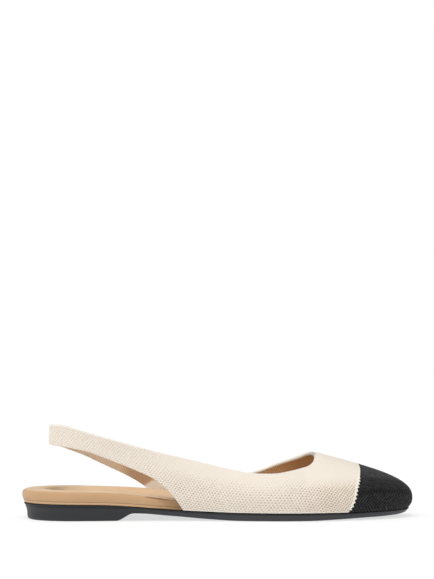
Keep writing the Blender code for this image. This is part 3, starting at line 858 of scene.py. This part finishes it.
def cap_finish():
    """Black yarn in herringbone ribs, with painted highlights on the rib tops, and a fine mesh on top of the
    toe, painted a lighter grey there as light on the upward face.
    """
    made = Finish("black_knit", 0.8, sheen=0.03, specular=0.16)
    rib, height = made.pair("rib")
    rib = made.scaled(made.noise(2.0, 1.0), 0.9, rib)
    mesh_share = made.step(height, 27.0, 33.0)
    ribs = made.wave(rib)
    knots = made.wave(made.over(height, 0.9))
    cell = made.vector(made.sums("ROUND", rib), made.sums("ROUND", made.over(height, 0.9)))
    chance = made.node("TexWhiteNoise", {"Vector": cell}).outputs["Value"]
    lit = made.times(ribs, made.scaled(knots, 0.35, 0.65))
    lit = made.times(lit, made.scaled(chance, 0.75, 0.45))
    from_turn = made.sums("ABSOLUTE", made.sums("SUBTRACT", height, RIB_TURNS[0][2]))
    lit = made.times(lit, made.scaled(made.step(from_turn, 0.4, 2.6), 0.6, 0.4))
    # Painted highlights on the rib tops and painted shade between them.
    ribbed = made.blend(lit, colour("0E0E0F"), colour("3C3C3E"))
    grain = made.noise(0.9, 2.0)
    speck = made.step(grain, 0.42, 0.62)
    # The mesh's speckle, painted a lighter grey than the ribs as light on the toe's upward top.
    lit_mesh = made.blend(speck, colour("242426"), colour("4C4B4C"))
    relief = made.blend(mesh_share, lit, speck)
    return made.done(made.blend(mesh_share, ribbed, lit_mesh), relief, 0.25)


def yarn_finish():
    made = Finish("white_yarn", 0.85, sheen=0.15, specular=0.2)
    return made.done(made.blend(made.noise(0.8), CREAM, WHITE_YARN), made.noise(0.4, 3.0), 0.15)


def bed_finish():
    """Tan microfibre with a fine nap and a lighter piped band along its foot; the side wall is painted darker
    than the top as shade, the crease under the lip and the seat's rear wall get painted shade, and a dark
    seam line runs along the bead.
    """
    made = Finish("tan_microfibre", 0.72, sheen=0.2, specular=0.3)
    grain = made.noise(0.55, 3.0)
    patch = made.noise(7.0, 2.0)
    top = made.blend(patch, colour("E2C19B"), colour("EBCFAC"))
    top = made.blend(made.times(grain, 0.35), top, colour("CFA67A"))
    # Painted shade: the side wall's colours are darker than the top's.
    side = made.blend(patch, colour("C79F76"), colour("D0AC85"))
    side = made.blend(made.times(grain, 0.35), side, colour("B48A60"))
    side = made.blend(made.value("bead"), side, colour("D6AF86"))
    base = made.blend(made.value("side"), top, side)
    # The seam line at the bead's top, and painted shade in the crease under the lip and on the seat's rear
    # wall.
    base = made.blend(made.value("seam_and_shade"), base, colour("7C5632"))
    return made.done(base, grain, 0.12)


TREAD_SPACING = 3.2


def sole_finish():
    """Charcoal rubber with a fine moulded grain, a darker top edge and shallow ribs under its flat parts."""
    made = Finish("charcoal_rubber", 0.5, specular=0.4)
    grain = made.noise(0.5, 3.0)
    cloud = made.noise(12.0, 2.0)
    front = made.blend(cloud, colour("313235"), colour("3B3C40"))
    heel = made.blend(cloud, colour("252628"), colour("2E2F32"))
    base = made.blend(made.value("heel"), front, heel)
    base = made.blend(made.value("lip"), base, colour("1A1D20"))
    split = made.node("SeparateXYZ", {0: made.place()})
    tread = made.wave(made.over(split.outputs[0], TREAD_SPACING * MM))
    tread = made.times(made.step(tread, 0.2, 0.5), made.value("ground"))
    relief = made.scaled(tread, 3.0, grain)
    return made.done(base, relief, 0.06)


def floor_finish():
    """Pale matt board that glows a little, so that its shadows stay light."""
    made = Finish("pale_floor", 0.9, specular=0.1)
    made.glow(0.66)
    return made.done(made.blend(made.noise(900.0), colour("A0A0A0"), colour("A4A4A4")))


def backdrop_finish():
    made = Finish("white_backdrop", 1.0, specular=0.0)
    made.glow(1.0)
    return made.done(colour("000000"))


# Where one look of the knit turns into the next, along the shoe unless a note says otherwise
EDGE_WIDENS_X = (130.0, 160.0)
SMOOTH_TOP_X = (150.0, 185.0)
STRAP_X = (70.0, 105.0)
HEEL_BACK_X = (17.0, 21.0)
DIAGONALS_X = (172.0, 192.0)
STEEPNESS = (0.35, 0.85)        # from walls that show their stitches to flat ones that don't
CALM_EDGE = (5.0, 19.0)         # distance from the edge over which the stitches come in
CALM_LEAST = 0.12


def make_knit(surface):
    points, along, depth = shell(surface, knit_section, knit_relief)
    columns, ring = depth.shape
    faces = tube_faces(columns, ring, True)
    piece = new_piece("upper_knit_shell", points, faces, knit_finish(), "upper")
    x = points[:, :, 0]
    height = along[:, :, 1]
    keep_pair(piece, "stitch", *stitch_phases(x, height))
    round_shoe = np.repeat(around_lengths(surface.points)[:, None], ring, axis=1)
    keep_pair(piece, "metric", round_shoe, along[:, :, 0])
    from_top = surface.length[:, None] - along[:, :, 0]
    outside = depth < 0.05
    reach = mix(0.5, 1.2, ease(x, *EDGE_WIDENS_X))
    edge = np.where(outside, 1 - ease(from_top - reach, 0.0, 0.6), 1.0 - ease(depth, WALL, WALL + 0.5))
    foot_line = (1 - ease(along[:, :, 0], 0.9, 1.3)) * (x > CORNER_X["medial"])
    edge = np.maximum(edge, foot_line * 0.8)
    steep = 1 - ease(surface_slope(surface, along), *STEEPNESS)
    calm = mix(CALM_LEAST, 1.0, ease(from_top, *CALM_EDGE))
    fade = mix(1.0, steep, ease(x, *SMOOTH_TOP_X))
    strap = 1 - ease(x, *STRAP_X)
    back = ease(x, *HEEL_BACK_X)
    keep_value(piece, "stitches", np.clip(fade * mix(calm, 0.6, strap) * back * outside, 0, 1) * (1 - edge))
    keep_value(piece, "edge", np.clip(edge, 0, 1))
    # Where the dips between the diagonals get painted shade.
    keep_value(piece, "diagonals", ease(x, *DIAGONALS_X) * (1 - edge) * outside)


def surface_slope(surface, along):
    """How far each point's wall faces up, from 0 upright to 1 flat."""
    slopes = [surface.at(surface.normals, k, along[k, :, 0])[:, 2] for k in range(surface.count)]
    return np.abs(np.array(slopes))


# The lining's look along the shoe
PALE_LINE = ((70.0, 78.5, 84.5, 98.0, 114.0), (12.5, 18.2, 22.2, 19.0, 9.0))    # the pale patch's top
TAN_STRAP_X = (50.0, 90.0)
PLAIN_FROM_X = (62.0, 71.0)
PLAIN_TO_X = (78.0, 90.0)


def make_lining(surface):
    points, along, depth = shell(surface, lining_section, None)
    columns, ring = depth.shape
    faces = tube_faces(columns, ring, True)
    piece = new_piece("upper_lining", points, faces, lining_finish())
    round_shoe = np.repeat(around_lengths(surface.points)[:, None], ring, axis=1)
    keep_pair(piece, "metric", round_shoe, along[:, :, 1])
    x, y, z = np.moveaxis(points, 2, 0)
    line = np.interp(x, *PALE_LINE)
    keep_value(piece, "pale", ease(line - z, -0.3, 0.3) * (y > 0))
    keep_value(piece, "strap", 1 - ease(x, *TAN_STRAP_X))
    medial_band = ease(x, *PLAIN_FROM_X) * (1 - ease(x, *PLAIN_TO_X)) * (y > 0)
    keep_value(piece, "plain", 0.85 * medial_band * ease(z - line, 0.0, 1.5))


def cap_columns(surface):
    """Toe columns in front of the seam, and how far up each one meets it."""
    found = []
    for k in surface.toe:
        ahead = surface.points[k, :, 0] - cap_seam_x(surface.points[k, :, 2])
        if ahead[0] <= 0.15:
            continue
        j = int(np.argmax(ahead < 0))
        share = ahead[j - 1] / (ahead[j - 1] - ahead[j])
        reach = (j - 1 + share) / (COLUMN_ROWS - 1) * surface.length[k]
        if reach > 0.8:
            found.append((k, reach))
    return found


def rib_phase(around, height):
    """Herringbone: the ribs turn at two heights."""
    climb = np.interp(height, RIB_TURNS[0], RIB_TURNS[1])
    return RIBS_PER_MM * (around + climb)


CAP_ROUND = 0.3         # radius of the cap's edges
CAP_ROWS = (60, 12, 4)  # on its outside, its inside and an edge


def make_cap(surface):
    points, pairs = [], []
    around = around_lengths(surface.points)
    around = np.abs(around - around[surface.tip])
    r = CAP_ROUND
    for k, reach in cap_columns(surface):
        section = np.array(
            [(a, 0.0) for a in np.linspace(r, reach - r, CAP_ROWS[0])]
            + arc((reach - r, r), r, 90, 0, CAP_ROWS[2])[1:]
            + [(reach, CAP_WALL)]
            + [(a, CAP_WALL) for a in np.linspace(reach - r, r, CAP_ROWS[1])]
            + arc((r, r), r, 180, 90, CAP_ROWS[2])[:-1]
        )
        base = surface.at(surface.points, k, section[:, 0])
        normal = surface.at(surface.normals, k, section[:, 0])
        points.append(base - normal * section[:, 1:2])
        pairs.append(np.stack([
            np.full(len(section), -around[k]), surface.at(surface.height, k, section[:, 0])
        ], axis=1))
    points, pairs = np.array(points), np.array(pairs)
    columns, ring = points.shape[:2]
    faces = tube_faces(columns, ring, False)
    piece = new_piece("toe_cap_knit", points, faces, cap_finish(), "toe_cap")
    keep_pair(piece, "rib", rib_phase(pairs[:, :, 0], pairs[:, :, 1]), pairs[:, :, 1])


# The looped edge at the cap, in section an oval that reaches over the cap and back over the knit
LOOP_SPACING = 2.6
LOOP_SECTIONS = 900
LOOP_RING = 12
LOOP_REACH = (0.4, 0.95)        # between the loops, and what a loop adds
LOOP_ROOT = 0.9                 # how far the edge lies back over the knit
LOOP_RISE = 0.34
LOOP_FADE_Z = (25.0, 28.0)      # above it the edge is plain
LOOP_PROBE = 400                # section that shows which way the faces turn


def make_picot(surface):
    line, normals = [], []
    for k, reach in cap_columns(surface):
        line.append(surface.at(surface.points, k, np.array([reach]))[0])
        normals.append(surface.at(surface.normals, k, np.array([reach]))[0])
    line, normals = np.array(line), np.array(normals)
    marks = lengths_along(line)
    places = np.linspace(0, marks[-1], LOOP_SECTIONS)
    line = resampled(places, marks, line)
    normals = unit(resampled(places, marks, normals))
    across = np.cross(normals, unit(np.gradient(line, axis=0)))
    if across[LOOP_SECTIONS // 4, 0] < 0:
        across = -across
    loops = 0.5 + 0.5 * np.cos(2 * np.pi * places / LOOP_SPACING)
    low = 1 - ease(line[:, 2], *LOOP_FADE_Z)
    reach = LOOP_REACH[0] + LOOP_REACH[1] * low * loops**1.5
    turns = np.linspace(0, 2 * np.pi, LOOP_RING, endpoint=False)
    points = []
    for i in range(LOOP_SECTIONS):
        centre = line[i] + across[i] * (reach[i] - LOOP_ROOT) / 2
        wide = (reach[i] + LOOP_ROOT) / 2
        points.append([
            centre + across[i] * wide * math.cos(t) + normals[i] * LOOP_RISE * math.sin(t) for t in turns
        ])
    points = np.array(points)
    faces = tube_faces(LOOP_SECTIONS, LOOP_RING, False)
    here, there = points[LOOP_PROBE], points[LOOP_PROBE + 1]
    outward = np.cross(here[1] - here[0], there[0] - here[0])
    if outward.dot(here[0] - line[LOOP_PROBE]) > 0:
        faces = [tuple(reversed(face)) for face in faces]
    new_piece("cap_edge_picot", points, faces, yarn_finish())


def inside_rim(x, y):
    """Distance of a point in from the footbed's heel rim, whose rear corners are rounded."""
    side = "lateral" if y < 0 else "medial"
    across = half_width(max(x, REAR_X), side) - abs(y) - CUP_SIDE + CUP_CORNER
    along = x - CUP_REAR_X + CUP_CORNER
    return across + along - math.hypot(across, along) - CUP_CORNER


def dish(point):
    """Sinks the footbed's seat inside its heel rim."""
    x, y, z = point
    return np.array([x, y, z - CUP_DEPTH * ease(inside_rim(x, y), *CUP_RAMP) * (1 - ease(x, *CUP_FADE))])


def cup_wall_shade(point):
    """Painted shade: 1 on the steep rear wall of the seat, 0 away from it."""
    on_ramp = bell(inside_rim(point[0], point[1]), sum(CUP_RAMP) / 2, CUP_WALL_WIDTH)
    return float(on_ramp * (1 - ease(point[0], *CUP_WALL_FADE)))


def ring_points(loop, inset_of, height_of):
    points, normals, sides = loop
    ring = []
    for point, normal, side in zip(points, normals, sides):
        moved = point - normal * inset_of(point[0], side)
        ring.append((moved[0], moved[1], height_of(point[0], side)))
    return np.array(ring)


def make_bed(loop):
    profile = refined(BED_PROFILE, BED_RINGS)
    rings, beads, seam_and_crease_shades, sides = [], [], [], []
    xs = loop[0][:, 0]
    for row in profile:
        lifts = {}

        def inset(x, side):
            base = mix(row.heel_inset, row.tuck_inset, float(ease(x, *TUCK[side])))
            tall = curve(BED_RIM, side, x) - bed_base(x)
            up = row.rise * tall
            bulge = 0.28 * float(bell(up, 0.75, 0.6)) - 0.3 * float(bell(up, BEAD_HEIGHT + 0.15, 0.22))
            lifts[(x, side)] = up
            return base + row.sink_inset * float(ease(x, *SINK)) - bulge

        def height(x, side):
            return mix(bed_base(x), curve(BED_RIM, side, x), row.rise)

        rings.append(ring_points(loop, inset, height))
        ups = np.array([lifts[(x, side)] for x, side in zip(xs, loop[2])])
        beads.append(1 - ease(ups, BEAD_HEIGHT - 0.15, BEAD_HEIGHT + 0.05))
        # Painted shade in the crease under the lip, where the side wall tucks in.
        starts = np.array([TUCK[side][0] for side in loop[2]])
        fades = 1 - 0.5 * ease(xs, starts + 8.0, starts + 18.0)
        crease_shade = 0.9 * ease(xs, starts - 2.5, starts + 3.0) * fades
        # A dark seam line at the bead's top, plus the painted crease shade.
        seam_and_crease_shades.append(0.7 * bell(ups, BEAD_HEIGHT + 0.15, 0.16) + crease_shade * bell(row.rise, 0.86, 0.06))
        # 1 on the side wall, which the finish paints darker than the top as shade.
        sides.append(np.full(len(xs), 1 - ease(row.rise, 0.9, 0.97)))
    verts, faces = stacked_solid(rings, *BED_RUNGS, dish)
    piece = new_piece("footbed_cover", verts, faces, bed_finish(), "footbed")
    rest = np.zeros(len(verts) - len(rings) * len(xs))
    # Painted shade on the seat's rear wall.
    cup_shade = CUP_WALL_SHADE * np.array([cup_wall_shade(vert) for vert in verts[-len(rest):]])
    for name, walls, seat in (("bead", beads, rest), ("seam_and_shade", seam_and_crease_shades, cup_shade), ("side", sides, rest)):
        keep_value(piece, name, np.clip(np.concatenate([np.ravel(walls), seat]), 0, 1))


def make_sole(loop):
    profile = refined(SOLE_PROFILE, SOLE_RINGS)[::-1]
    rings, lips = [], []
    for row in profile:
        def inset(x, side):
            share = float(ease(x, BREAST_BACK_X, BREAST_FRONT_X + WALL_FADE))
            side_inset = mix(row.heel_inset, row.front_inset, share)
            return mix(side_inset, row.toe_inset, float(ease(x, TOE_ROLL_X, TIP_X)))

        def height(x, side):
            return mix(curve(SOLE, "top", x), sole_bottom(x), row.drop)

        rings.append(ring_points(loop, inset, height))
        lips.append(np.full(len(loop[0]), 1 - float(ease(row.drop, 0.13, 0.17))))
    verts, faces = stacked_solid(rings, *SOLE_RUNGS)
    piece = new_piece("outsole_rubber_body", verts, faces, sole_finish(), "outsole")
    keep_value(piece, "lip", np.concatenate([np.ravel(lips), np.zeros(len(verts) - np.size(lips))]))
    keep_value(piece, "heel", 1 - ease(verts[:, 0], BREAST_BACK_X, 120.0))
    ground = 1 - ease(verts[:, 2], 0.1, 0.6)
    keep_value(piece, "ground", ground * (np.arange(len(verts)) >= np.size(lips)))


FLOOR_RADIUS, DOME_RADIUS = 11.0, 12.0          # metres


def make_stage():
    """A pale floor, and a white dome round it that is seen but gives no light."""
    bpy.ops.mesh.primitive_circle_add(vertices=96, radius=FLOOR_RADIUS, fill_type="NGON")
    floor = bpy.context.object
    floor.name = "floor"
    floor.data.materials.append(floor_finish())
    bpy.ops.mesh.primitive_uv_sphere_add(segments=48, ring_count=24, radius=DOME_RADIUS)
    dome = bpy.context.object
    dome.name = "backdrop"
    dome.data.materials.append(backdrop_finish())
    dome.visible_diffuse = False
    dome.visible_glossy = False
    dome.visible_transmission = False
    dome.visible_shadow = False


def make_camera():
    """The photograph's view, in metres and degrees: from the shoe's lateral side and a little behind.

    The camera stands a little above the shoe and looks slightly up and past its middle.
    """
    distance, height = 1.04567, 0.09516
    azimuth, aside, pitch = (math.radians(angle) for angle in (4.0, 0.067, 2.813))
    aim = azimuth - aside
    data = bpy.data.cameras.new("camera")
    data.sensor_fit = "HORIZONTAL"
    data.sensor_width = 36.0
    data.lens = 134.0
    camera = bpy.data.objects.new("camera", data)
    camera.location = (-math.sin(azimuth) * distance, -math.cos(azimuth) * distance, height)
    forward = Vector((math.sin(aim) * math.cos(pitch), math.cos(aim) * math.cos(pitch), math.sin(pitch)))
    camera.rotation_euler = forward.to_track_quat("-Z", "Y").to_euler()
    bpy.context.scene.collection.objects.link(camera)
    bpy.context.scene.camera = camera


def add_sun(name, azimuth, elevation, share, softness):
    """A soft light far away; share is what it adds to a surface that faces it."""
    data = bpy.data.lights.new(name, "SUN")
    data.energy = share * math.pi
    data.angle = math.radians(softness)
    light = bpy.data.objects.new(name, data)
    turn, climb = math.radians(azimuth), math.radians(elevation)
    source = Vector((math.sin(turn) * math.cos(climb), -math.cos(turn) * math.cos(climb), math.sin(climb)))
    light.rotation_euler = source.to_track_quat("Z", "Y").to_euler()
    bpy.context.scene.collection.objects.link(light)


def make_lights():
    world = bpy.data.worlds.new("studio")
    world.use_nodes = True
    background = world.node_tree.nodes["Background"]
    background.inputs["Color"].default_value = (1.0, 1.0, 1.0, 1.0)
    background.inputs["Strength"].default_value = 0.5
    bpy.context.scene.world = world
    add_sun("overhead", -25.0, 66.0, 0.485, 35.0)
    add_sun("fill", -60.0, 22.0, 0.09, 50.0)
    bpy.context.scene.view_settings.view_transform = "Standard"


heel_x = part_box("outsole")[0].x / MM - REAR_X
surface = Surface()
make_knit(surface)
make_lining(surface)
make_cap(surface)
make_picot(surface)
sole_loop = edge_loop(sole_stations())
make_bed(sole_loop)
make_sole(sole_loop)
make_stage()
make_camera()
make_lights()
